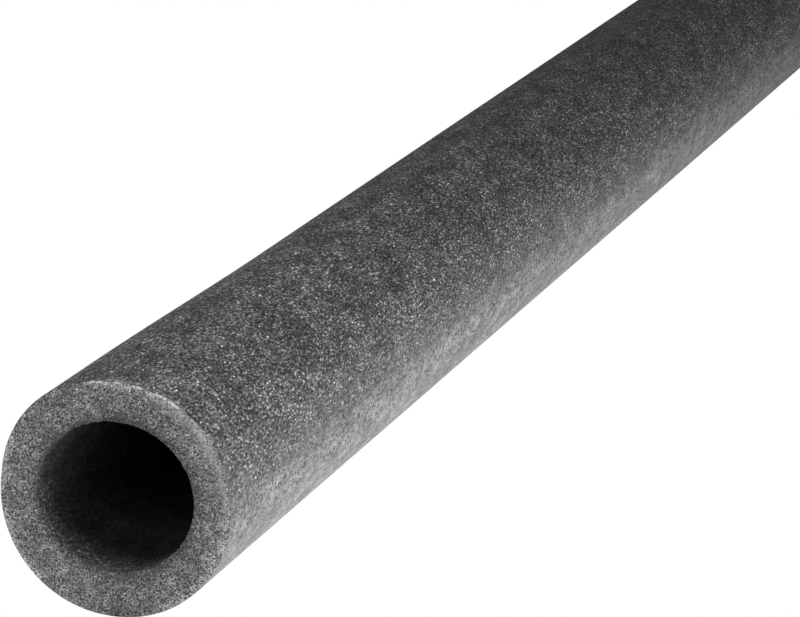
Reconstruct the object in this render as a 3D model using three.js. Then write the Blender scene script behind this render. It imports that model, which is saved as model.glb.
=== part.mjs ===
// Straight length of closed-cell polyethylene foam lagging, the grey tube that is slid over a
// heating or water pipe to insulate it. Millimetres, +Z up.
// The tube lies along Y on the plane Z = 0, and the origin is under the middle of its length.
import * as THREE from "three";

// Driving dimensions

// Length that the tube is sold in
const LENGTH = 1000;
// Outside diameter of the pipe that the bore is made for
const PIPE_DIAMETER = 35;
// Thickness of the foam
const WALL = 9;
// The bore lies slightly flattened: this much wider, and this much lower, than the pipe is round
const BORE_SPREAD = 1.2;
// Height of the bore's centre above the tube's centre, because the underside is the thicker wall
const BORE_RISE = 0.6;
// Radius that the skin turns over with at the rims of both cut ends
const RIM_ROUND = 0.8;
// Flat facets that stand for each round wall, and steps that each rim is rounded in
const FACETS = 96;
const RIM_STEPS = 2;

// Sizes that follow from them

const outerRadius = PIPE_DIAMETER / 2 + WALL;
const boreHalfWidth = (PIPE_DIAMETER + BORE_SPREAD) / 2;
const boreHalfHeight = (PIPE_DIAMETER - BORE_SPREAD) / 2;
// Half a facet's angle turns each ring, so that the tube lies on a flat facet and not on an edge
const halfFacet = Math.PI / FACETS;
// Height of the tube's centre when its lowest facet lies on Z = 0
const centreHeight = outerRadius * Math.cos(halfFacet);

// One closed ring of the cross-section: an ellipse whose corners stand half a facet off the axes
function ring(halfWidth, halfHeight, centreY) {
  const corners = [];
  for (let i = 0; i < FACETS; i += 1) {
    const angle = (2 * i + 1) * halfFacet;
    corners.push(
      new THREE.Vector2(halfWidth * Math.cos(angle), centreY + halfHeight * Math.sin(angle)),
    );
  }
  return corners;
}

// Cross-section of the foam, with the bore as its hole
function crossSection() {
  const section = new THREE.Shape(ring(outerRadius, outerRadius, 0));
  section.holes.push(new THREE.Path(ring(boreHalfWidth, boreHalfHeight, BORE_RISE)));
  return section;
}

// The foam tube: its section run along its length, with every rim rounded
function foamTube() {
  const geometry = new THREE.ExtrudeGeometry(crossSection(), {
    depth: LENGTH - 2 * RIM_ROUND,
    bevelEnabled: true,
    bevelThickness: RIM_ROUND,
    bevelSize: RIM_ROUND,
    bevelOffset: -RIM_ROUND,
    bevelSegments: RIM_STEPS,
  });
  // The extrusion runs along Z, and its middle is brought to the origin before it is laid along Y
  geometry.translate(0, 0, RIM_ROUND - LENGTH / 2);
  geometry.rotateX(Math.PI / 2);
  const foam = new THREE.MeshStandardMaterial({
    color: 0x4b4c4e,
    roughness: 0.85,
    metalness: 0,
  });
  const tube = new THREE.Mesh(geometry, foam);
  tube.name = "foam_tube";
  tube.position.set(0, 0, centreHeight);
  return tube;
}

const lagging = new THREE.Group();
lagging.add(foamTube());

export default lagging;
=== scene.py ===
"""Foam pipe lagging: a straight length of grey closed-cell foam tube that insulates a heating or
water pipe, lying on a plain studio floor. Metres, +Z up. The tube lies along Y, and the cut end
that the camera looks at faces -Y."""

import math

import bmesh
import bpy
from bpy.props import FloatProperty, FloatVectorProperty, IntProperty, PointerProperty
from bpy.types import Operator, Panel, PropertyGroup
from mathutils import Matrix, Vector, noise


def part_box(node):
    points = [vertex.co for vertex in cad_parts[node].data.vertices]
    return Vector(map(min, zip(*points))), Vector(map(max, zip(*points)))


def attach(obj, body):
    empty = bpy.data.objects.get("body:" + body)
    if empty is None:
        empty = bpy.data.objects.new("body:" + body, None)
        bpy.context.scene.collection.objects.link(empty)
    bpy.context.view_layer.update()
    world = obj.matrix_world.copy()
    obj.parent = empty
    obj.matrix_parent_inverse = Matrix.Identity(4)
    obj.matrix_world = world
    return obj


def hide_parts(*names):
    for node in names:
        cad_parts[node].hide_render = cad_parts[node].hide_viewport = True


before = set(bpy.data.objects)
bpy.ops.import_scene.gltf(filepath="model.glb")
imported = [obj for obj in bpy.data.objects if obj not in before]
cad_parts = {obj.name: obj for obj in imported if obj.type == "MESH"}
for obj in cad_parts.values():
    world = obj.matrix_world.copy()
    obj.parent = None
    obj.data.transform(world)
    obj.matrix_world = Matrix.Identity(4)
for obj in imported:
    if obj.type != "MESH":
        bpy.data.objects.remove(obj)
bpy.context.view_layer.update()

bl_info = {
    "name": "Foam Pipe Lagging",
    "version": (1, 0, 0),
    "blender": (4, 5, 0),
    "location": "3D View > Sidebar > Lagging",
    "description": "Adds a length of closed-cell foam pipe lagging and a plain studio for it",
    "category": "Add Mesh",
}

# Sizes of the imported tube

MILLIMETRE = 0.001
# Places nearer than this are the same
WELD = 0.001 * MILLIMETRE

TUBE_NODE = "foam_tube"
CAD_LOW, CAD_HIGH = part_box(TUBE_NODE)
HALF_LENGTH = (CAD_HIGH.y - CAD_LOW.y) / 2
OUTER_RADIUS = (CAD_HIGH.x - CAD_LOW.x) / 2
AXIS_HEIGHT = (CAD_LOW.z + CAD_HIGH.z) / 2
NEAR_END = Vector((0, -HALF_LENGTH, AXIS_HEIGHT))


def bore_corners():
    """Lowest and highest corner of the bore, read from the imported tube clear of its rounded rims."""
    places = [v.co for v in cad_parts[TUBE_NODE].data.vertices]
    nearest_ring = min(abs(p.y) for p in places)
    ring = [p for p in places if abs(p.y) < nearest_ring + WELD]
    radii = [math.hypot(p.x, p.z - AXIS_HEIGHT) for p in ring]
    middle_of_wall = (min(radii) + max(radii)) / 2
    bore = [p for p, radius in zip(ring, radii) if radius < middle_of_wall]
    low = Vector([min(p[i] for p in bore) for i in range(3)])
    high = Vector([max(p[i] for p in bore) for i in range(3)])
    return low, high


BORE_LOW, BORE_HIGH = bore_corners()
BORE_HALF_WIDTH = (BORE_HIGH.x - BORE_LOW.x) / 2
BORE_HALF_HEIGHT = (BORE_HIGH.z - BORE_LOW.z) / 2
BORE_RADIUS = (BORE_HALF_WIDTH + BORE_HALF_HEIGHT) / 2
BORE_RISE = (BORE_LOW.z + BORE_HIGH.z) / 2 - AXIS_HEIGHT
WALL = OUTER_RADIUS - BORE_RADIUS


# Sizes and colours that a user would change

# Width of a foam cell, and how many times longer than wide the skin's cells are
USUAL_CELL = 0.55 * MILLIMETRE
USUAL_STRETCH = 2.2


def distance(name, description, default):
    """A length in a property group."""
    return FloatProperty(
        name=name,
        description=description,
        default=default,
        subtype="DISTANCE",
        unit="LENGTH",
    )


def angle(name, description, degrees):
    """An angle in a property group, with its default in degrees."""
    return FloatProperty(
        name=name,
        description=description,
        default=math.radians(degrees),
        subtype="ANGLE",
        unit="ROTATION",
    )


def amount(name, description, default):
    """A plain number in a property group, 0 or more."""
    return FloatProperty(name=name, description=description, default=default, min=0)


def colour(name, description, default):
    """A colour in a property group."""
    return FloatVectorProperty(
        name=name,
        description=description,
        default=default,
        subtype="COLOR",
        size=3,
        min=0,
        max=1,
    )


class LaggingTubeSettings(PropertyGroup):
    """Sizes of the foam tube's mesh."""

    rim_round: distance(
        "Rim Round",
        "Radius that the skin turns over with at the cut ends",
        0.3 * MILLIMETRE,
    )
    crown: distance(
        "Crown",
        "How far the skin's rim stands back from the middle of the foam's wall",
        0.08 * MILLIMETRE,
    )
    mouth_crown: distance(
        "Mouth Crown",
        "How far the bore's rim stands back from the middle of the foam's wall",
        0.2 * MILLIMETRE,
    )
    rim_wear: distance(
        "Rim Wear",
        "How far the near end's rim is worn down where it is worn most",
        0.6 * MILLIMETRE,
    )
    swelling: distance(
        "Swelling",
        "How far the near end bulges out on its upper left side",
        0.8 * MILLIMETRE,
    )
    flare: distance(
        "Flare",
        "How far the near end's rim is squeezed out on its lower left side",
        0.25 * MILLIMETRE,
    )
    mouth_fray: distance(
        "Mouth Fray",
        "How deep the notches in the bore's mouth are",
        0.22 * MILLIMETRE,
    )
    cluster_size: distance(
        "Cluster Size",
        "Width of the clumps of cells that a knife leaves on a cut end",
        1.3 * MILLIMETRE,
    )
    cut_depth: distance(
        "Cut Depth",
        "How deep the cut ends are pitted",
        0.28 * MILLIMETRE,
    )
    skin_lip: distance(
        "Skin Lip",
        "How far the torn edge of the skin stands out of a cut end",
        0.5 * MILLIMETRE,
    )
    skin_unevenness: distance(
        "Skin Unevenness",
        "How far the skin rises and sinks along the tube",
        0.07 * MILLIMETRE,
    )
    # The most steps that are allowed here keep the tube under 200,000 triangles
    segments: IntProperty(
        name="Segments",
        description="Steps round the tube",
        default=192,
        min=32,
        max=220,
    )


class LaggingFinishSettings(PropertyGroup):
    """Colours and cell sizes of the foam."""

    cell_size: distance("Cell Size", "Width of a foam cell", USUAL_CELL)
    cell_stretch: FloatProperty(
        name="Cell Stretch",
        description="How many times longer the skin's cells are than wide, along the tube",
        default=USUAL_STRETCH,
        min=1,
    )
    skin_colour: colour("Skin Colour", "Usual colour of the skin", (0.095, 0.095, 0.0965))
    wall_colour: colour("Wall Colour", "Colour of cut cell walls", (0.078, 0.078, 0.079))


class LaggingStageSettings(PropertyGroup):
    """The floor, the light and the camera."""

    floor_colour: colour("Floor Colour", "Colour of the plain floor", (0.86, 0.86, 0.86))
    floor_glow: amount(
        "Floor Glow", "Light that the floor gives by itself, as a lit table does", 1.29
    )
    far_glow: FloatProperty(
        name="Far Glow",
        description="Share of the glow that is left far from the near cut end",
        default=0.05,
        min=0,
        max=1,
    )
    pool_reach: distance("Pool Reach", "How far from the near cut end the glow fades over", 1.0)
    contact_shadow: distance(
        "Contact Shadow",
        "How far from where the tube touches the floor the glow grows over",
        14 * MILLIMETRE,
    )
    surround: amount("Surround", "Strength of the plain light from all around", 0.117)
    softbox_distance: distance("Softbox Distance", "From the near cut end to each soft light", 0.45)
    softbox_size: distance("Softbox Size", "Side of each square soft light", 0.2)
    key_power: amount("Key Power", "Power of the soft light to the right, in watts", 1.51)
    key_heading: angle(
        "Key Heading", "Angle from the front of the near cut end to the key light, to the right", 70
    )
    key_height: angle("Key Height", "Angle that the key light stands above the near cut end", 65)
    fill_power: amount("Fill Power", "Power of the soft light straight in front, in watts", 0.3)
    fill_height: angle("Fill Height", "Angle that the front light stands above the near cut end", 38)
    lens: FloatProperty(
        name="Lens",
        description="Focal length of the camera, in millimetres",
        default=177.2,
        min=20,
    )
    camera_pitch: angle("Camera Pitch", "Angle that the camera looks down at", 14.51)
    camera_heading: angle(
        "Camera Heading", "Angle between the camera's heading and the tube, to the left", 17.67
    )
    camera_place: FloatVectorProperty(
        name="Camera Place",
        description="Where the camera is, from the middle of the near cut end",
        default=(0.304, -0.752, 0.2519),
        subtype="TRANSLATION",
        unit="LENGTH",
        size=3,
    )


# Shares, from 0 to 1


def clamped(value):
    """The value kept between 0 and 1."""
    return min(max(value, 0), 1)


def fading(distance_away, reach):
    """1 at no distance, falling evenly to 0 at reach."""
    return max(1 - distance_away / reach, 0)


def full_by_half(share):
    """A share doubled, so that it is full from a half on."""
    return min(2 * share, 1)


def patches(place, size):
    """A share that comes and goes in patches of about this size."""
    return 0.5 + 0.5 * noise.noise(place / size)


# Places on the tube, whose own axis is Y until it is put in place


def radius_of(place):
    """Distance of a place from the tube's axis."""
    return math.hypot(place.x, place.z)


def from_cut(place):
    """Distance of a place along the tube from the nearer cut end."""
    return HALF_LENGTH - abs(place.y)


def share_of_wall(place):
    """0 at the skin and 1 at the bore."""
    return clamped((OUTER_RADIUS - radius_of(place)) / WALL)


def sector(middle, reach):
    """A stretch round the tube: its middle, in degrees up from +X, and how far it fades out to."""
    return math.radians(middle), math.radians(reach)


def within(place, stretch):
    """1 in the middle of a stretch round the tube, falling to 0 where it ends."""
    middle, reach = stretch
    turn = math.atan2(place.z, place.x)
    off = math.remainder(turn - middle, 2 * math.pi) / reach
    return max(1 - off * off, 0)


def near_within(place, stretch):
    """1 in the middle of a stretch that only the near end has, falling to 0 where it ends."""
    return within(place, stretch) if place.y < 0 else 0


# Mesh of the tube

# Stretch at each cut end with a fine mesh, and a longer one with a middling mesh
END_ZONE = 5 * MILLIMETRE
NEAR_ZONE = 40 * MILLIMETRE
# Distances between the rings of vertices in the three stretches, and across a cut end
END_STEP = 0.5 * MILLIMETRE
NEAR_STEP = 3.5 * MILLIMETRE
BODY_STEP = 16 * MILLIMETRE
CUT_STEP = 0.35 * MILLIMETRE
# Parts that each step round the tube is split in, at the cut ends
END_SPLIT = 3
# Steps that a rim is rounded in, and the turn between its faces that makes an edge a rim
RIM_STEPS = 3
RIM_TURN = math.radians(60)
# Share of its length that an edge runs along the tube, if it is a lengthwise one
LENGTHWISE = 0.99


def spun_wall(bm, segments):
    """A closed tube with square rims round the Y axis, spun from an outline of its wall."""
    corners = [
        (BORE_RADIUS, -HALF_LENGTH),
        (OUTER_RADIUS, -HALF_LENGTH),
        (OUTER_RADIUS, HALF_LENGTH),
        (BORE_RADIUS, HALF_LENGTH),
    ]
    verts = [bm.verts.new((radius, y, 0)) for radius, y in corners]
    edges = [bm.edges.new((verts[i - 1], verts[i])) for i in range(len(verts))]
    bmesh.ops.spin(
        bm,
        geom=verts + edges,
        cent=(0, 0, 0),
        axis=(0, 1, 0),
        angle=2 * math.pi,
        steps=segments,
        use_merge=True,
    )
    bmesh.ops.remove_doubles(bm, verts=bm.verts, dist=WELD)
    bmesh.ops.recalc_face_normals(bm, faces=bm.faces)


def round_rims(bm, radius):
    """Rounds the four rims of the two cut ends."""
    rims = [e for e in bm.edges if e.calc_face_angle(0) > RIM_TURN]
    bmesh.ops.bevel(
        bm,
        geom=rims,
        offset=radius,
        offset_type="OFFSET",
        affect="EDGES",
        segments=RIM_STEPS,
        profile=0.5,
        material=-1,
    )


def cut_across(bm, y):
    """Cuts a ring of vertices into the tube at this place along it."""
    bmesh.ops.bisect_plane(
        bm,
        geom=bm.verts[:] + bm.edges[:] + bm.faces[:],
        dist=WELD,
        plane_co=(0, y, 0),
        plane_no=(0, 1, 0),
    )


def is_lengthwise(edge, start, end):
    """Whether an edge runs along the tube between these two places."""
    first, second = sorted(v.co.y for v in edge.verts)
    way = edge.verts[1].co - edge.verts[0].co
    between = first > start - WELD and second < end + WELD
    return between and abs(way.y) > LENGTHWISE * way.length


def split_stretch(bm, start, end, step):
    """Adds rings of vertices between two places along the tube, about a step apart."""
    edges = [e for e in bm.edges if is_lengthwise(e, start, end)]
    count = round((end - start) / step)
    bmesh.ops.subdivide_edges(bm, edges=edges, cuts=count - 1, use_grid_fill=True)


def split_length(bm, rim_round):
    """Gives the tube its rings of vertices: close together at the cut ends, far apart between."""
    last = HALF_LENGTH - rim_round
    fine = HALF_LENGTH - END_ZONE
    middling = HALF_LENGTH - NEAR_ZONE
    for y in (-fine, -middling, middling, fine):
        cut_across(bm, y)
    split_stretch(bm, -last, -fine, END_STEP)
    split_stretch(bm, -fine, -middling, NEAR_STEP)
    split_stretch(bm, -middling, middling, BODY_STEP)
    split_stretch(bm, middling, fine, NEAR_STEP)
    split_stretch(bm, fine, last, END_STEP)


def is_radial(edge):
    """Whether an edge lies on a cut end and runs from the bore to the skin."""
    first, second = (v.co for v in edge.verts)
    on_cut = max(from_cut(first), from_cut(second)) < WELD
    return on_cut and abs(radius_of(first) - radius_of(second)) > WALL / 2


def is_round(edge):
    """Whether an edge lies in the fine stretch at a cut end and runs round the tube."""
    first, second = (v.co for v in edge.verts)
    in_zone = max(from_cut(first), from_cut(second)) < END_ZONE - WELD
    level = abs(first.y - second.y) < WELD
    return in_zone and level and abs(radius_of(first) - radius_of(second)) < WELD


def split_cut_ends(bm):
    """Gives both cut ends, and the stretch next to them, a mesh fine enough for their relief."""
    across = round(WALL / CUT_STEP)
    radial = [e for e in bm.edges if is_radial(e)]
    bmesh.ops.subdivide_edges(bm, edges=radial, cuts=across - 1, use_grid_fill=True)
    rounds = [e for e in bm.edges if is_round(e)]
    bmesh.ops.subdivide_edges(bm, edges=rounds, cuts=END_SPLIT - 1, use_grid_fill=True)


def flatten_bore(bm):
    """Makes the round bore as wide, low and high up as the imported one, and leaves the skin round."""
    wider = BORE_HALF_WIDTH / BORE_RADIUS - 1
    higher = BORE_HALF_HEIGHT / BORE_RADIUS - 1
    for vert in bm.verts:
        share = share_of_wall(vert.co)
        vert.co.x *= 1 + share * wider
        vert.co.z *= 1 + share * higher
        vert.co.z += share * BORE_RISE


# Marks that the knife and handling leave, and painted light and shade

# What the tube's vertices keep for the finish, each from 0 to 1
CUT = "cut"
TORN = "torn"
SMEARED = "smeared"
# The cut foam's pale border inside the skin: painted light of the rounded rim
RIM_LIGHT = "pale"
# Painted shade on the cut end near the bore's mouth
MOUTH_SHADE = "pitted"
CREASED = "creased"
# Calmed skin: rougher and flatter, with painted light of the floor below and dark dents of painted
# shade
CALMED_PAINTED_LIGHT = "calmed_painted_light"
# Near the bore's mouth, where its painted shade is lessened
MOUTH_LIT = "mouth_lit"
INWARD = "inward"
KEPT = (CUT, TORN, SMEARED, RIM_LIGHT, MOUTH_SHADE, CREASED, CALMED_PAINTED_LIGHT, MOUTH_LIT, INWARD)

# Where the knife lifted the skin's edge at the near end, creased the skin, smeared the foam
# inside the edge, and wore and scuffed the edge itself
LIFTED_EDGE = sector(73, 33)
CREASED_SKIN = sector(52, 50)
SMEARED_BAND = sector(30, 62)
WORN_EDGE = sector(12, 75)
SCUFFED_SKIN = sector(0, 48)
# Where the near end has no pale border of painted light inside its skin, and where painted shade
# darkens its mouth
UNLIT_BORDERS = (sector(-105, 34), sector(125, 32))
SHADED_MOUTH = sector(60, 150)
# Where the near end is swollen, and between which distances from the cut that fades
SWOLLEN_SIDE = sector(133, 38)
SWOLLEN_TO = 30 * MILLIMETRE
SWOLLEN_END = 135 * MILLIMETRE
# Where the near end's rim is squeezed out, and how far along the tube that reaches
FLARED_RIM = sector(-145, 50)
FLARE_REACH = 6 * MILLIMETRE
# Where the skin is calmed all along, under the tube: rougher and flatter, with painted light of
# the glowing floor below, a paler ground with dark dents of painted shade, and painted shade
# towards the lowest skin
UNDERSIDE_SKIN = sector(-90, 105)

# Shares of the wall that these reach over, from the skin or the bore
CROWN_REACH = 0.4
WEAR_REACH = 0.22
SMEAR_REACH = 0.35
RIM_LIGHT_REACH = 0.25
MOUTH_SHADE_REACH = 0.4
HELD_REACH = 0.1
# How far these reach along the tube from the cut
SCUFF_REACH = 1.6 * MILLIMETRE
LONG_SCUFF_REACH = 8 * MILLIMETRE
CREASE_REACH = 16 * MILLIMETRE
FRAY_REACH = 2 * MILLIMETRE
MOUTH_LIT_REACH = 17 * MILLIMETRE
NOTCH_REACH = 1.5 * MILLIMETRE
# Shares of full strength: the torn edge away from where the knife lifted it, scuffs round the
# whole rim and what is added on the scuffed side, fraying in the mouth, and the calmed pattern in
# the bore, whose dark dents are painted shade
LEAST_LIP = 0.05
SCUFFED = 0.35
LONG_SCUFFED = 0.2
FRAYED = 0.9
BORE_CALM = 0.3

# What a cut end's depth is made of: pitted clumps of cells, and a fine and a slow unevenness
CLUMP_WEIGHT = 0.45
FINE_WEIGHT = 0.3
SLOW_WEIGHT = 0.25
# Width of a clump's sloping sides, and sizes of the fine and the slow unevenness, in clumps
CLUMP_SIDES = 0.6
FINE_SIZE = 0.35
SLOW_SIZE = 4
# Shares of that depth that are lost where cut foam is smeared, and where the skin holds it
SMEAR_FILLS = 0.7
SKIN_HOLDS = 0.8
# The torn edge's flakes: their width, how far they reach in, in radii of the rim, and contrast
FLAKE_SIZE = 2.6 * MILLIMETRE
FLAKE_REACH = 1.8
FLAKE_CONTRAST = 2
# The mouth's notches: their width, how much they differ, and how far foam hangs in between them
NOTCH_SIZE = 1.1 * MILLIMETRE
NOTCH_CONTRAST = 1.6
NOTCH_HANG = 0.6
# Size of the skin's slow waves round the tube, and that as a share of their length along it
WAVE_SIZE = 30 * MILLIMETRE
WAVE_NARROWNESS = 0.3


def torn_share(place, rim_round):
    """How much the skin's edge is torn up here. It comes and goes round the rim."""
    to_edge = math.hypot(OUTER_RADIUS - radius_of(place), from_cut(place))
    lifted = LEAST_LIP + (1 - LEAST_LIP) * full_by_half(near_within(place, LIFTED_EDGE))
    flaked = clamped(0.5 + FLAKE_CONTRAST * noise.noise(place / FLAKE_SIZE))
    return lifted * flaked * fading(to_edge, FLAKE_REACH * rim_round)


def mark_torn_edge(bm, rim_round):
    """Keeps how torn each vertex is, while the cut ends are still flat."""
    torn = bm.verts.layers.float.new(TORN)
    for vert in bm.verts:
        vert[torn] = torn_share(vert.co, rim_round)


def shape_cut_ends(bm, settings):
    """Sets the rims of both cut ends back, because a knife squeezes soft foam as it cuts, and
    wears the near end's outer rim down on one side."""
    for vert in bm.verts:
        share = share_of_wall(vert.co)
        outer_fall = fading(share, CROWN_REACH)
        inner_fall = fading(1 - share, CROWN_REACH)
        worn_fall = fading(share, WEAR_REACH)
        back = settings.crown * outer_fall**2 + settings.mouth_crown * inner_fall**2
        back += settings.rim_wear * worn_fall**2 * near_within(vert.co, WORN_EDGE)
        back *= fading(from_cut(vert.co), END_ZONE)
        vert.co.y -= math.copysign(back, vert.co.y)


def cut_share(place, facing_end):
    """How much of a place is cut foam: all of a cut end, and less where it spills over its rims."""
    if share_of_wall(place) > 0.5:
        spilt = FRAYED * fading(from_cut(place), FRAY_REACH)
    else:
        side = near_within(place, SCUFFED_SKIN)
        reach = SCUFF_REACH + side * (LONG_SCUFF_REACH - SCUFF_REACH)
        spilt = (SCUFFED + LONG_SCUFFED * side) * fading(from_cut(place), reach)
    return max(facing_end, spilt)


def rim_light_share(place):
    """How pale the cut foam's border inside the skin is here: painted light of its rounded rim."""
    missing = max(near_within(place, stretch) for stretch in UNLIT_BORDERS)
    return fading(share_of_wall(place), RIM_LIGHT_REACH) * (1 - missing)


def finish_shares(place, facing_end):
    """What a vertex keeps for the finish."""
    share = share_of_wall(place)
    on_skin = (1 - share) * (1 - facing_end)
    in_bore = share * (1 - facing_end)
    smear_across = full_by_half(fading(share, SMEAR_REACH))
    # Calmed share: painted light of the glowing floor under the tube, and painted dark dents deep in
    # the bore
    calmed_painted_light = within(place, UNDERSIDE_SKIN) * on_skin
    # Painted shade in the bore is lessened this much near its mouth
    mouth_lit = fading(from_cut(place), MOUTH_LIT_REACH) * in_bore
    return {
        CUT: cut_share(place, facing_end),
        SMEARED: near_within(place, SMEARED_BAND) * smear_across * facing_end,
        RIM_LIGHT: rim_light_share(place) * facing_end,
        # Painted shade on the cut end near the mouth
        MOUTH_SHADE: near_within(place, SHADED_MOUTH) * fading(1 - share, MOUTH_SHADE_REACH) * facing_end,
        CREASED: near_within(place, CREASED_SKIN) * fading(from_cut(place), CREASE_REACH) * on_skin,
        CALMED_PAINTED_LIGHT: max(calmed_painted_light, BORE_CALM * (in_bore - mouth_lit)),
        MOUTH_LIT: mouth_lit,
        INWARD: share,
    }


def cut_relief(place, cluster_size):
    """How deep a cut end lies here, from 0 to 1: pitted clumps of cells on an unevenness."""
    to_nearest, to_second = noise.voronoi(place / cluster_size)[0][:2]
    pit = min((to_second - to_nearest) / CLUMP_SIDES, 1)
    fine = patches(place, FINE_SIZE * cluster_size)
    slow = patches(place, SLOW_SIZE * cluster_size)
    return CLUMP_WEIGHT * pit + FINE_WEIGHT * fine + SLOW_WEIGHT * slow


def pit_depth(place, shares, settings):
    """How deep cut foam is pitted here, and 0 where no foam is cut."""
    if shares[CUT] == 0:
        return 0.0
    depth = settings.cut_depth * shares[CUT]
    depth *= 1 - SMEAR_FILLS * shares[SMEARED]
    depth *= 1 - SKIN_HOLDS * fading(share_of_wall(place), HELD_REACH)
    return depth * cut_relief(place, settings.cluster_size)


def skin_wave(place):
    """How far the skin rises here, or sinks below 0: long slow waves along the tube."""
    drawn_out = Vector((place.x, place.y * WAVE_NARROWNESS, place.z))
    return noise.noise(drawn_out / WAVE_SIZE)


def swollen_share(place):
    """How much the near end is swollen here, most at the skin and not at all in the bore."""
    faded = clamped((SWOLLEN_END - from_cut(place)) / (SWOLLEN_END - SWOLLEN_TO))
    smooth = faded * faded * (3 - 2 * faded)
    return smooth * near_within(place, SWOLLEN_SIDE) * (1 - share_of_wall(place))


def notch_depth(place):
    """How far the bore's mouth is frayed outwards here, or hangs inwards below 0."""
    to_mouth = math.hypot((1 - share_of_wall(place)) * WALL, from_cut(place))
    ragged = NOTCH_CONTRAST * noise.noise(place / NOTCH_SIZE) - NOTCH_HANG
    return ragged * fading(to_mouth, NOTCH_REACH)


def pushed_out(place, settings):
    """How far foam is pushed out from the tube's axis here: swollen, flared or frayed."""
    flared = fading(from_cut(place), FLARE_REACH) ** 2 * near_within(place, FLARED_RIM)
    out = settings.swelling * swollen_share(place)
    out += settings.flare * flared * (1 - share_of_wall(place))
    return out + settings.mouth_fray * notch_depth(place)


def facing_end_share(vert):
    """How squarely a vertex faces out of a cut end, from 0 to 1."""
    at_end = from_cut(vert.co) < END_ZONE
    return vert.normal.y * vert.normal.y if at_end else 0


def roughen(bm, settings):
    """Moves the vertices: cut ends are pitted, the skin's edge stands out, the bore's mouth is
    frayed and the skin is uneven. Each vertex keeps how its place looks, for the finish."""
    layers = {name: bm.verts.layers.float.new(name) for name in KEPT if name != TORN}
    torn = bm.verts.layers.float[TORN]
    for vert in bm.verts:
        place = vert.co.copy()
        facing_end = facing_end_share(vert)
        shares = finish_shares(place, facing_end)
        depth = pit_depth(place, shares, settings)
        depth -= settings.skin_unevenness * skin_wave(place) * (1 - facing_end)
        vert.co -= vert.normal * depth
        vert.co.y += math.copysign(settings.skin_lip * vert[torn], place.y)
        vert.co += Vector((place.x, 0, place.z)).normalized() * pushed_out(place, settings)
        for name, value in shares.items():
            vert[layers[name]] = value


def foam_tube_mesh(settings):
    """Mesh of the whole tube, in its place."""
    bm = bmesh.new()
    spun_wall(bm, settings.segments)
    round_rims(bm, settings.rim_round)
    split_length(bm, settings.rim_round)
    split_cut_ends(bm)
    mark_torn_edge(bm, settings.rim_round)
    shape_cut_ends(bm, settings)
    flatten_bore(bm)
    bm.normal_update()
    roughen(bm, settings)
    bmesh.ops.translate(bm, verts=bm.verts, vec=(0, 0, AXIS_HEIGHT))
    bmesh.ops.triangulate(bm, faces=[f for f in bm.faces if len(f.verts) > 4])
    for face in bm.faces:
        face.smooth = True
    mesh = bpy.data.meshes.new("lagging_tube")
    bm.to_mesh(mesh)
    bm.free()
    return mesh


# Shader nodes

# Where noise from 0 to 1 has its middle
NOISE_MIDDLE = 0.5
# Sockets of a Mix node that take and give its colours, whose names are those of other sockets too
MIX_FIRST = 6
MIX_SECOND = 7
MIX_RESULT = 2


def feed(tree, socket, value):
    """Links a socket to another node's output, or sets it to a value."""
    if isinstance(value, bpy.types.NodeSocket):
        tree.links.new(value, socket)
    else:
        socket.default_value = value


def add_node(tree, kind, inputs=None, **settings):
    """A new node with these settings. Its inputs are given by name or number, as values or as
    sockets of other nodes."""
    node = tree.nodes.new(kind)
    for name, value in settings.items():
        setattr(node, name, value)
    for name, value in (inputs or {}).items():
        feed(tree, node.inputs[name], value)
    return node


def maths(tree, operation, first, second=0.0, third=0.0):
    """Output of a Math node on values or sockets."""
    inputs = {0: first, 1: second, 2: third}
    return add_node(tree, "ShaderNodeMath", inputs, operation=operation).outputs[0]


def vector_maths(tree, operation, first, second):
    """Output of a Vector Math node on two vectors or sockets."""
    inputs = {0: first, 1: second}
    return add_node(tree, "ShaderNodeVectorMath", inputs, operation=operation).outputs[0]


def scale_vector(tree, vector, scale):
    """A vector or colour times a value."""
    inputs = {0: vector, "Scale": scale}
    return add_node(tree, "ShaderNodeVectorMath", inputs, operation="SCALE").outputs[0]


def weighted_sum(tree, *terms, start=0.0):
    """Sum of sockets, each times its weight, and a start. Terms are pairs of socket and weight."""
    total = start
    for socket, weight in terms:
        total = maths(tree, "MULTIPLY_ADD", socket, weight, total)
    return total


def remaining(tree, share, loss):
    """What is left of 1 after a loss that is complete where share is 1."""
    return weighted_sum(tree, (share, -loss), start=1.0)


def blend(tree, share, first, second):
    """A value that goes from the first to the second as share goes from 0 to 1."""
    inputs = {"Value": share, "To Min": first, "To Max": second}
    return add_node(tree, "ShaderNodeMapRange", inputs).outputs["Result"]


def ramp(tree, value, low, high, at_low=0.0, at_high=1.0):
    """A value that goes smoothly from at_low to at_high as another goes from low to high."""
    inputs = {"Value": value, "From Min": low, "From Max": high, "To Min": at_low, "To Max": at_high}
    node = add_node(tree, "ShaderNodeMapRange", inputs, interpolation_type="SMOOTHSTEP")
    return node.outputs["Result"]


def blend_colours(tree, share, first, second):
    """A colour that goes from the first to the second as share goes from 0 to 1."""
    inputs = {"Factor": share, MIX_FIRST: (*first, 1), MIX_SECOND: (*second, 1)}
    return add_node(tree, "ShaderNodeMix", inputs, data_type="RGBA").outputs[MIX_RESULT]


def noise_node(tree, place, blots, detail, roughness=0.5):
    """A noise, with this many blots to one step of a place."""
    inputs = {"Vector": place, "Scale": blots, "Detail": detail, "Roughness": roughness}
    return add_node(tree, "ShaderNodeTexNoise", inputs)


def cells_node(tree, place, feature):
    """Irregular cells, about one to a step of a place."""
    inputs = {"Vector": place, "Scale": 1.0}
    return add_node(tree, "ShaderNodeTexVoronoi", inputs, feature=feature)


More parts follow.
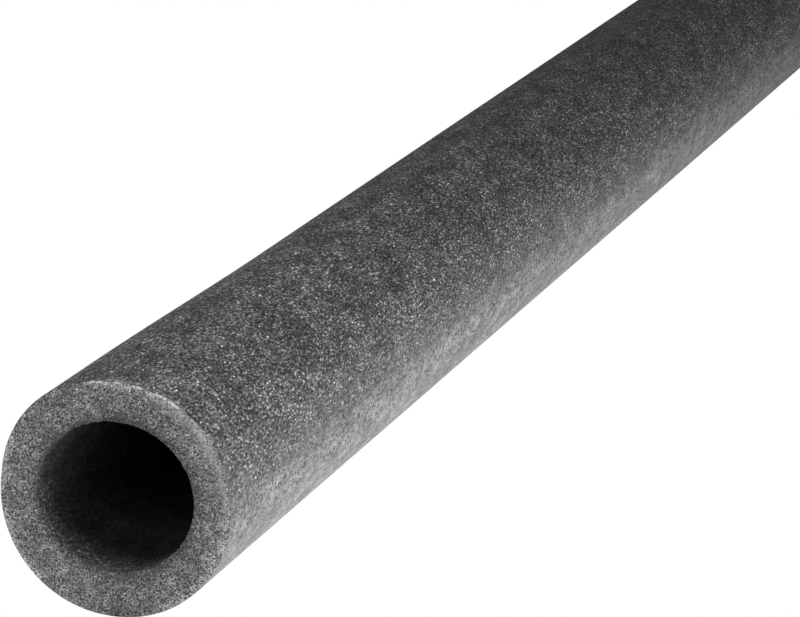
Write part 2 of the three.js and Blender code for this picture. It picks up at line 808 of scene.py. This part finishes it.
def drawn_out_noise(tree, noise_value, spread):
    """Noise that mostly lies within a spread of its middle, drawn out to go from 0 to 1."""
    return ramp(tree, noise_value, NOISE_MIDDLE - spread, NOISE_MIDDLE + spread)


def scale_place(tree, place, size, stretch):
    """A place in steps of a size, and of this many sizes along Y."""
    per_metre = maths(tree, "DIVIDE", 1.0, size)
    along = maths(tree, "DIVIDE", per_metre, stretch)
    steps = add_node(tree, "ShaderNodeCombineXYZ", {"X": per_metre, "Y": along, "Z": per_metre})
    return vector_maths(tree, "MULTIPLY", place, steps.outputs[0])


def new_group(name, inputs, outputs):
    """A shader node group with float sockets, and a Vector input. Returns it with its ends."""
    group = bpy.data.node_groups.new(name, "ShaderNodeTree")
    group.interface.new_socket("Vector", in_out="INPUT", socket_type="NodeSocketVector")
    for label, default in inputs.items():
        socket = group.interface.new_socket(label, in_out="INPUT", socket_type="NodeSocketFloat")
        socket.default_value = default
    for label in outputs:
        group.interface.new_socket(label, in_out="OUTPUT", socket_type="NodeSocketFloat")
    start = group.nodes.new("NodeGroupInput")
    end = group.nodes.new("NodeGroupOutput")
    return group, start.outputs, end.inputs


def use_group(tree, group, place, size, stretch, **inputs):
    """Outputs of a pattern's node group, given a place, a size, a stretch and its other inputs."""
    numbered = {0: place, 1: size, 2: stretch}
    return add_node(tree, "ShaderNodeGroup", {**numbered, **inputs}, node_tree=group).outputs


# Patterns of the foam. A shade is how much paler a place is than usual, as a power of e

# Cells: noise blots per cell that jumble them and that make their grain, the spread of that
# grain's noise, and how far a dome reaches from a cell's middle and a wall from its edge
JUMBLE_BLOTS = 0.6
GRAIN_BLOTS = 1.3
GRAIN_SPREAD = 0.25
DOME_REACH = 0.75
WALL_REACH = 0.25
# Mottle: the roughness and the spread of its noise
MOTTLE_ROUGHNESS = 0.55
MOTTLE_SPREAD = 0.2
# Lines: noise blots per line that break them up, and the values between which a line comes in
GAP_BLOTS = 0.45
LINE_COMES = (0.5, 0.62)


def foam_cells_group():
    """Foam cells, longer along Y: a dome in each, the walls between them, the tone that each cell
    keeps, and a fine grain."""
    group, start, end = new_group(
        "Foam Cells",
        {"Cell Size": USUAL_CELL, "Stretch": USUAL_STRETCH, "Jumble": 0.5},
        ("Dome", "Wall", "Tone", "Grain"),
    )
    regular = scale_place(group, start["Vector"], start["Cell Size"], start["Stretch"])
    drift = noise_node(group, regular, JUMBLE_BLOTS, detail=1.0).outputs["Color"]
    centred = vector_maths(group, "SUBTRACT", drift, (NOISE_MIDDLE, NOISE_MIDDLE, NOISE_MIDDLE))
    place = vector_maths(group, "ADD", regular, scale_vector(group, centred, start["Jumble"]))
    nearest = cells_node(group, place, "F1").outputs
    to_edge = cells_node(group, place, "DISTANCE_TO_EDGE").outputs["Distance"]
    tone = add_node(group, "ShaderNodeSeparateColor", {"Color": nearest["Color"]}).outputs["Red"]
    grain = noise_node(group, place, GRAIN_BLOTS, detail=1.0).outputs[0]
    group.links.new(ramp(group, nearest["Distance"], DOME_REACH, 0.0), end["Dome"])
    group.links.new(ramp(group, to_edge, WALL_REACH, 0.0), end["Wall"])
    group.links.new(tone, end["Tone"])
    group.links.new(drawn_out_noise(group, grain, GRAIN_SPREAD), end["Grain"])
    return group


def foam_mottle_group():
    """Foam mottle: slow patches, paler and darker, that a run of foam has."""
    group, start, end = new_group(
        "Foam Mottle", {"Patch Size": 5 * MILLIMETRE, "Stretch": 2.0}, ("Mottle",)
    )
    scaled = scale_place(group, start["Vector"], start["Patch Size"], start["Stretch"])
    mottle = noise_node(group, scaled, 1.0, detail=3.0, roughness=MOTTLE_ROUGHNESS).outputs[0]
    group.links.new(drawn_out_noise(group, mottle, MOTTLE_SPREAD), end["Mottle"])
    return group


def fine_lines_group():
    """Fine lines: thin wavy threads that come and go. Each is 1 in its middle."""
    group, start, end = new_group(
        "Fine Lines", {"Spacing": 2 * MILLIMETRE, "Stretch": 1.0, "Width": 0.04}, ("Line",)
    )
    scaled = scale_place(group, start["Vector"], start["Spacing"], start["Stretch"])
    waves = noise_node(group, scaled, 1.0, detail=1.5).outputs[0]
    off_middle = maths(group, "ABSOLUTE", maths(group, "SUBTRACT", waves, NOISE_MIDDLE))
    thread = ramp(group, off_middle, start["Width"], 0.0)
    gaps = noise_node(group, scaled, GAP_BLOTS, detail=1.0).outputs[0]
    there = ramp(group, gaps, *LINE_COMES)
    group.links.new(maths(group, "MULTIPLY", thread, there), end["Line"])
    return group


def toned_domes(tree, cells):
    """The domes of cells, each as strong as its cell's tone."""
    return maths(tree, "MULTIPLY", cells["Dome"], cells["Tone"])


# Skin: sizes of its cells and of the grains between them, in cell sizes, and the stretch of the
# dents in calmed skin as a share of the cells'
WIDE_CELL = 1.2
SMALL_CELL = 0.75
DENT_STRETCH = 0.75
# Sizes of its slow patches and of its clumps of cells, and its creases, whose dark lines are
# painted shade over shallow grooves
SKIN_PATCH = 6 * MILLIMETRE
SKIN_CLUMP = 2 * MILLIMETRE
CREASE_SPACING = 9 * MILLIMETRE
CREASE_WIDTH = 0.012
# How far the skin is calmed between where these start and are complete: the cells are
# flattened, dark dents of painted shade show, and the dents fade again where painted shade darkens
# the lowest skin
FLATTENED = (0.0, 0.45)
DENTED = (0.0, 0.25)
SMOOTHED_AND_SHADED = (0.35, 0.85)
# Tones between which a dent is shallow and deep, and the painted shade of a deep one
DENT_TONES = (0.4, 0.8)
DENT_PAINTED_SHADE = -2.1
# Shares of the relief and of the dents that calming takes away
RELIEF_LOST = 0.7
DENTS_LOST = 0.8
# Roughness of the dullest and of the glossiest cell, and of calmed skin
DULL_CELL = 0.62
GLOSSY_CELL = 0.36
CALM_ROUGHNESS = 0.85


def skin_layers(tree, start, cells_group, mottle_group, lines_group):
    """Every pattern that the skin is made of, for the inputs of its group."""
    place = start["Vector"]
    stretch = start["Stretch"]
    wide = maths(tree, "MULTIPLY", start["Cell Size"], WIDE_CELL)
    small = maths(tree, "MULTIPLY", start["Cell Size"], SMALL_CELL)
    shorter = maths(tree, "MULTIPLY", stretch, DENT_STRETCH)
    cells = use_group(tree, cells_group, place, wide, stretch, Jumble=0.6)
    grains = use_group(tree, cells_group, place, small, stretch, Jumble=0.4)
    lines = use_group(tree, lines_group, place, CREASE_SPACING, stretch, Width=CREASE_WIDTH)
    return {
        "cells": cells,
        "dents": use_group(tree, cells_group, place, wide, shorter, Jumble=0.9),
        # Spots that are partly the cells' own tone and partly painted glints
        "cell spots and glints": toned_domes(tree, cells),
        "grain spots and glints": toned_domes(tree, grains),
        "mottle": use_group(tree, mottle_group, place, SKIN_PATCH, stretch)["Mottle"],
        "clumps": use_group(tree, mottle_group, place, SKIN_CLUMP, stretch)["Mottle"],
        "shaded creases": lines["Line"],
    }


def free_skin_shade(tree, layers):
    """Shade of skin that is not calmed: domes and grains of many tones over slow patches, whose
    bright spots are partly the cells' own tone and partly painted glints, and dark creases of
    painted shade.
    """
    return weighted_sum(
        tree,
        # Bright spots: partly the cells' own tone, partly painted glints
        (layers["cell spots and glints"], 1.75),
        (layers["grain spots and glints"], 1.65),
        (layers["cells"]["Grain"], 2.3),
        (layers["mottle"], 0.6),
        (layers["clumps"], 0.6),
        # Dark creases: painted shade in the creases
        (layers["shaded creases"], -0.6),
        start=-2.32,
    )


def calm_lit_skin_shade(tree, layers, smoothed_and_shaded):
    """Shade of calmed skin between its dents: calmer, with a paler ground that is painted light of
    the glowing floor, and painted shade towards the lowest skin.
    """
    return weighted_sum(
        tree,
        (layers["dents"]["Grain"], 0.8),
        (layers["mottle"], 0.4),
        (layers["clumps"], 0.5),
        (smoothed_and_shaded, -0.35),
        start=0.2,
    )


def shaded_dents(tree, dents, calm_share, smoothed_and_shaded):
    """Dark dents of painted shade in calmed skin, which fade where painted shade darkens the lowest
    skin.
    """
    deep = maths(tree, "MULTIPLY", dents["Dome"], ramp(tree, dents["Tone"], *DENT_TONES))
    dented = ramp(tree, calm_share, *DENTED)
    left = maths(tree, "MULTIPLY", dented, remaining(tree, smoothed_and_shaded, DENTS_LOST))
    return maths(tree, "MULTIPLY", deep, left)


def skin_pattern_group(cells_group, mottle_group, lines_group):
    """Closed-cell skin, lively where it is free, with bright spots that are partly painted glints,
    and calm on the underside and in the bore, with painted light and dark dents of painted shade.
    Its height is in metres."""
    group, start, end = new_group(
        "Foam Skin",
        {"Cell Size": USUAL_CELL, "Stretch": USUAL_STRETCH, "Pressed": 0.0},
        ("Shade", "Height", "Roughness"),
    )
    layers = skin_layers(group, start, cells_group, mottle_group, lines_group)
    calm_share = start["Pressed"]
    flattened = ramp(group, calm_share, *FLATTENED)
    smoothed_and_shaded = ramp(group, calm_share, *SMOOTHED_AND_SHADED)
    dents = shaded_dents(group, layers["dents"], calm_share, smoothed_and_shaded)
    free = free_skin_shade(group, layers)
    # The calmed ground is paler, painted light of the glowing floor, and its dents and lowest skin get
    # painted shade
    undented = blend(group, flattened, free, calm_lit_skin_shade(group, layers, smoothed_and_shaded))
    group.links.new(weighted_sum(group, (dents, DENT_PAINTED_SHADE), start=undented), end["Shade"])
    relief = weighted_sum(
        group, (layers["cell spots and glints"], 0.24), (layers["grain spots and glints"], 0.08), (layers["shaded creases"], -0.06)
    )
    height = maths(group, "MULTIPLY", relief, remaining(group, flattened, RELIEF_LOST))
    group.links.new(maths(group, "MULTIPLY", height, MILLIMETRE), end["Height"])
    cell_roughness = ramp(group, layers["cells"]["Tone"], 0.0, 1.0, DULL_CELL, GLOSSY_CELL)
    roughness = blend(group, flattened, cell_roughness, CALM_ROUGHNESS)
    group.links.new(roughness, end["Roughness"])
    return group


# Cut foam: size of its flecks, in cell sizes, and of its slow patches
FLECK_SIZE = 0.6
CUT_PATCH = 3 * MILLIMETRE


def cut_pattern_group(cells_group, mottle_group):
    """Foam cut through its cells: pale walls and flecks round dark open cells, whose darkness is
    painted shade in their hollows. Its height is in metres."""
    group, start, end = new_group(
        "Cut Foam", {"Cell Size": USUAL_CELL, "Stretch": USUAL_STRETCH}, ("Shade", "Height")
    )
    place = start["Vector"]
    stretch = start["Stretch"]
    small = maths(group, "MULTIPLY", start["Cell Size"], FLECK_SIZE)
    cells = use_group(group, cells_group, place, start["Cell Size"], stretch, Jumble=0.8)
    grains = use_group(group, cells_group, place, small, stretch, Jumble=0.5)
    mottle = use_group(group, mottle_group, place, CUT_PATCH, stretch)["Mottle"]
    # Dark open cells: painted shade in their hollows, which the relief also sinks
    open_cell = toned_domes(group, cells)
    fleck = toned_domes(group, grains)
    wall = cells["Wall"]
    shade = weighted_sum(
        group, (open_cell, -2.75), (wall, 0.45), (fleck, 2.2), (mottle, 0.55), start=-0.21
    )
    relief = weighted_sum(group, (open_cell, -0.16), (wall, 0.03), (fleck, 0.06))
    group.links.new(shade, end["Shade"])
    group.links.new(maths(group, "MULTIPLY", relief, MILLIMETRE), end["Height"])
    return group


# Materials

# Ragged border of the cut foam: size of its grain, in cell sizes, how far the grain moves it,
# and the values between which skin becomes cut foam
BORDER_GRAIN = 1.1
BORDER_SHIFT = 0.7
BORDER = (0.35, 0.65)
# Folds of creased skin: their lines, how creased skin is where they are complete, their
# strength there, and the shade of their pale lines, a painted highlight along the folds
FOLD_SPACING = 14 * MILLIMETRE
FOLD_STRETCH = 0.25
FOLD_WIDTH = 0.15
FOLDS_COMPLETE = 0.6
FOLD_STRENGTH = 0.8
FOLD_PAINTED_HIGHLIGHT = 1.2
# Torn edge: weight and start of the grain that breaks it up, the values between which it comes
# in, and its shade, partly the torn skin's own paleness and partly a painted highlight where the
# lifted edge catches the light
TORN_GRAIN = 1.6
TORN_START = 0.1
TORN_COMES = (0.15, 0.5)
TORN_PALENESS_AND_HIGHLIGHT = 1.9
# Share of the cut foam's pattern that is left where it is smeared
SMEARED_PATTERN = 0.5
# Share of the wall past which painted shade darkens the cut foam towards the mouth
MOUTH_SHADE_START = 0.8
# The palest cut foam is dulled: its shade is at most this share of itself, plus this start
DULLED_SHARE = 0.6
DULLED_START = 0.7
# Roughness of cut foam, of the bore and of the floor
CUT_ROUGHNESS = 0.85
BORE_ROUGHNESS = 0.8
FLOOR_ROUGHNESS = 0.9


def new_material(name):
    """A material with its Principled BSDF, and the Object coordinates that its patterns read."""
    material = bpy.data.materials.new(name)
    material.use_nodes = True
    tree = material.node_tree
    shader = tree.nodes["Principled BSDF"]
    place = add_node(tree, "ShaderNodeTexCoord").outputs["Object"]
    return material, tree, shader, place


def kept_value(tree, name):
    """Output of an Attribute node for a value that the tube's vertices keep."""
    return add_node(tree, "ShaderNodeAttribute", attribute_name=name).outputs["Fac"]


def cut_mask(tree, kept, grain):
    """1 on cut foam and 0 on skin, with a ragged border."""
    border = weighted_sum(tree, (grain, BORDER_SHIFT), start=-BORDER_SHIFT / 2)
    return ramp(tree, maths(tree, "ADD", kept[CUT], border), *BORDER)


def torn_mask(tree, kept, grain):
    """1 on the flakes of torn skin."""
    flakes = weighted_sum(tree, (grain, TORN_GRAIN), start=TORN_START)
    return ramp(tree, maths(tree, "MULTIPLY", kept[TORN], flakes), *TORN_COMES)


def skin_shade(tree, kept, pattern, folds):
    """Shade of the skin: painted shade darkens it in the bore, less near the bore's mouth, and its
    folds get a painted highlight."""
    # Painted shade deep in the bore, lessened near its mouth
    plain = weighted_sum(tree, (kept[INWARD], -1.6), (kept[MOUTH_LIT], 1.15), start=pattern["Shade"])
    creased = ramp(tree, kept[CREASED], 0.0, FOLDS_COMPLETE, 0.0, FOLD_STRENGTH)
    # The folds' pale lines: a painted highlight along them
    return blend(tree, maths(tree, "MULTIPLY", folds, creased), plain, FOLD_PAINTED_HIGHLIGHT)


def cut_shade(tree, kept, pattern):
    """Shade of cut foam: paler next to the skin, painted light of its rounded rim, and where it is
    smeared, and darker towards the bore's mouth, painted shade of the mouth's hollow."""
    calm = ramp(tree, kept[SMEARED], 0.0, 1.0, 1.0, SMEARED_PATTERN)
    full = weighted_sum(
        tree,
        (pattern["Shade"], calm),
        (kept[SMEARED], 0.55),
        # Painted light of the rounded rim
        (kept[RIM_LIGHT], 0.75),
        # Painted shade towards the bore's mouth
        (kept[MOUTH_SHADE], -0.8),
        (ramp(tree, kept[INWARD], MOUTH_SHADE_START, 1.0), -0.55),
        start=0.02,
    )
    dulled = weighted_sum(tree, (full, DULLED_SHARE), start=DULLED_START)
    return maths(tree, "MINIMUM", full, dulled)


def foam_material(finish):
    """The whole tube's finish: skin outside and in the bore, cut foam on the ends, with a ragged
    border between them and a torn pale edge that is partly a painted highlight."""
    material, tree, shader, place = new_material("lagging_foam")
    cell = finish.cell_size
    cells_group = foam_cells_group()
    mottle_group = foam_mottle_group()
    lines_group = fine_lines_group()
    skin_group = skin_pattern_group(cells_group, mottle_group, lines_group)
    cut_group = cut_pattern_group(cells_group, mottle_group)
    kept = {name: kept_value(tree, name) for name in KEPT}

    skin = use_group(tree, skin_group, place, cell, finish.cell_stretch, Pressed=kept[CALMED_PAINTED_LIGHT])
    bare = use_group(tree, cut_group, place, cell, 1.0)
    grain = use_group(tree, cells_group, place, BORDER_GRAIN * cell, 1.0)["Grain"]
    folds = use_group(
        tree, lines_group, place, FOLD_SPACING, FOLD_STRETCH, Width=FOLD_WIDTH
    )["Line"]
    is_cut = cut_mask(tree, kept, grain)
    skin_here = skin_shade(tree, kept, skin, folds)
    untorn = blend(tree, is_cut, skin_here, cut_shade(tree, kept, bare))
    # The torn edge: its own paleness, and partly a painted highlight
    shade = blend(tree, torn_mask(tree, kept, grain), untorn, TORN_PALENESS_AND_HIGHLIGHT)
    usual = blend_colours(tree, is_cut, finish.skin_colour, finish.wall_colour)
    painted = scale_vector(tree, usual, maths(tree, "EXPONENT", shade))
    tree.links.new(painted, shader.inputs["Base Color"])

    skin_roughness = blend(tree, kept[INWARD], skin["Roughness"], BORE_ROUGHNESS)
    roughness = blend(tree, is_cut, skin_roughness, CUT_ROUGHNESS)
    tree.links.new(roughness, shader.inputs["Roughness"])
    height = blend(tree, is_cut, skin["Height"], bare["Height"])
    bump = add_node(tree, "ShaderNodeBump", {"Height": height, "Distance": 1.0, "Strength": 1.0})
    tree.links.new(bump.outputs["Normal"], shader.inputs["Normal"])
    return material


def from_tube(tree, place):
    """Distance of a place on the floor from the line that the tube touches."""
    parts = add_node(tree, "ShaderNodeSeparateXYZ", {"Vector": place}).outputs
    in_front = maths(tree, "SUBTRACT", -HALF_LENGTH, parts["Y"])
    ahead = maths(tree, "MAXIMUM", in_front, 0.0)
    off_line = add_node(tree, "ShaderNodeCombineXYZ", {"X": parts["X"], "Y": ahead}).outputs[0]
    length = add_node(tree, "ShaderNodeVectorMath", {0: off_line}, operation="LENGTH")
    return length.outputs["Value"]


def floor_material(settings):
    """Plain pale floor that gives light by itself, most of it round the near cut end and none
    right under the tube. The camera sees it plain white."""
    material, tree, shader, place = new_material("studio_floor")
    away = add_node(tree, "ShaderNodeVectorMath", {0: place, 1: NEAR_END}, operation="DISTANCE")
    pool = ramp(tree, away.outputs["Value"], 0.0, settings.pool_reach, 1.0, settings.far_glow)
    shadow = ramp(tree, from_tube(tree, place), 0.0, settings.contact_shadow)
    glow = maths(tree, "MULTIPLY", maths(tree, "MULTIPLY", pool, shadow), settings.floor_glow)
    seen = add_node(tree, "ShaderNodeLightPath").outputs["Is Camera Ray"]
    tree.links.new(blend(tree, seen, glow, 1.0), shader.inputs["Emission Color"])
    shader.inputs["Emission Strength"].default_value = 1.0
    black = (0.0, 0.0, 0.0)
    seen_colour = blend_colours(tree, seen, settings.floor_colour, black)
    tree.links.new(seen_colour, shader.inputs["Base Color"])
    shader.inputs["Roughness"].default_value = FLOOR_ROUGHNESS
    shader.inputs["Specular IOR Level"].default_value = 0.0
    return material


# Pieces and stage

# Side of the square floor
FLOOR_SIZE = 12.0
# Width of the camera's sensor, in millimetres, and how near and far it sees
SENSOR_WIDTH = 36
NEAREST_SEEN = 0.01
FARTHEST_SEEN = 100


def link_object(name, data):
    """A new object in the scene that holds this mesh, light or camera."""
    made = bpy.data.objects.new(name, data)
    bpy.context.scene.collection.objects.link(made)
    return made


class LAGGING_OT_add_tube(Operator):
    """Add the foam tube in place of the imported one, with its skin, cut ends and bore"""

    bl_idname = "lagging.add_tube"
    bl_label = "Add Foam Tube"

    def execute(self, context):
        finish = context.scene.lagging_finish
        mesh = foam_tube_mesh(context.scene.lagging_tube)
        mesh.materials.append(foam_material(finish))
        tube = link_object("lagging_tube", mesh)
        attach(tube, "root")
        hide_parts(TUBE_NODE)
        return {"FINISHED"}


def add_floor(settings):
    """The pale floor that the tube lies on."""
    bm = bmesh.new()
    bmesh.ops.create_grid(bm, x_segments=1, y_segments=1, size=FLOOR_SIZE / 2)
    mesh = bpy.data.meshes.new("studio_floor")
    bm.to_mesh(mesh)
    bm.free()
    mesh.materials.append(floor_material(settings))
    floor = link_object("studio_floor", mesh)


def add_surround(scene, strength):
    """Plain white light from all around."""
    world = bpy.data.worlds.new("studio_surround")
    world.use_nodes = True
    background = world.node_tree.nodes["Background"]
    background.inputs["Color"].default_value = (1, 1, 1, 1)
    background.inputs["Strength"].default_value = strength
    scene.world = world


def add_softbox(name, settings, heading, height, power):
    """A square soft light turned to the near cut end, from this heading and height."""
    level = math.cos(height)
    way = Vector((level * math.sin(heading), -level * math.cos(heading), math.sin(height)))
    light = bpy.data.lights.new(name, "AREA")
    light.shape = "SQUARE"
    light.size = settings.softbox_size
    light.energy = power
    softbox = link_object(name, light)
    softbox.location = NEAR_END + settings.softbox_distance * way
    softbox.rotation_euler = (-way).to_track_quat("-Z", "Y").to_euler()


def add_camera(scene, settings):
    """The camera of the photograph's view."""
    camera_data = bpy.data.cameras.new("view_camera")
    camera_data.lens = settings.lens
    camera_data.sensor_width = SENSOR_WIDTH
    camera_data.clip_start = NEAREST_SEEN
    camera_data.clip_end = FARTHEST_SEEN
    camera = link_object("view_camera", camera_data)
    camera.location = NEAR_END + Vector(settings.camera_place)
    level = math.pi / 2
    camera.rotation_euler = (level - settings.camera_pitch, 0, settings.camera_heading)
    scene.camera = camera


class LAGGING_OT_add_stage(Operator):
    """Add the plain floor, the light from all around, the two soft lights and the camera"""

    bl_idname = "lagging.add_stage"
    bl_label = "Add Studio"

    def execute(self, context):
        scene = context.scene
        settings = scene.lagging_stage
        scene.view_settings.view_transform = "Standard"
        add_floor(settings)
        add_surround(scene, settings.surround)
        key_heading = settings.key_heading
        add_softbox("key_softbox", settings, key_heading, settings.key_height, settings.key_power)
        add_softbox("fill_softbox", settings, 0, settings.fill_height, settings.fill_power)
        add_camera(scene, settings)
        return {"FINISHED"}


# Each group of settings in the sidebar, and the operator listed with it
PANEL_PARTS = (
    ("lagging_tube", "lagging.add_tube"),
    ("lagging_finish", None),
    ("lagging_stage", "lagging.add_stage"),
)


class LAGGING_PT_sidebar(Panel):
    """Lists what the add-on makes"""

    bl_label = "Pipe Lagging"
    bl_idname = "LAGGING_PT_sidebar"
    bl_space_type = "VIEW_3D"
    bl_region_type = "UI"
    bl_category = "Lagging"

    def draw(self, context):
        layout = self.layout
        for settings, operator in PANEL_PARTS:
            box = layout.box()
            group = getattr(context.scene, settings)
            for name in group.bl_rna.properties.keys():
                if name not in ("name", "rna_type"):
                    box.prop(group, name)
            if operator:
                box.operator(operator)


CLASSES = (
    LaggingTubeSettings,
    LaggingFinishSettings,
    LaggingStageSettings,
    LAGGING_OT_add_tube,
    LAGGING_OT_add_stage,
    LAGGING_PT_sidebar,
)


def register():
    for made in CLASSES:
        bpy.utils.register_class(made)
    bpy.types.Scene.lagging_tube = PointerProperty(type=LaggingTubeSettings)
    bpy.types.Scene.lagging_finish = PointerProperty(type=LaggingFinishSettings)
    bpy.types.Scene.lagging_stage = PointerProperty(type=LaggingStageSettings)


def unregister():
    del bpy.types.Scene.lagging_stage
    del bpy.types.Scene.lagging_finish
    del bpy.types.Scene.lagging_tube
    for made in reversed(CLASSES):
        bpy.utils.unregister_class(made)


def main():
    register()
    bpy.ops.lagging.add_tube()
    bpy.ops.lagging.add_stage()


if __name__ == "__main__":
    main()
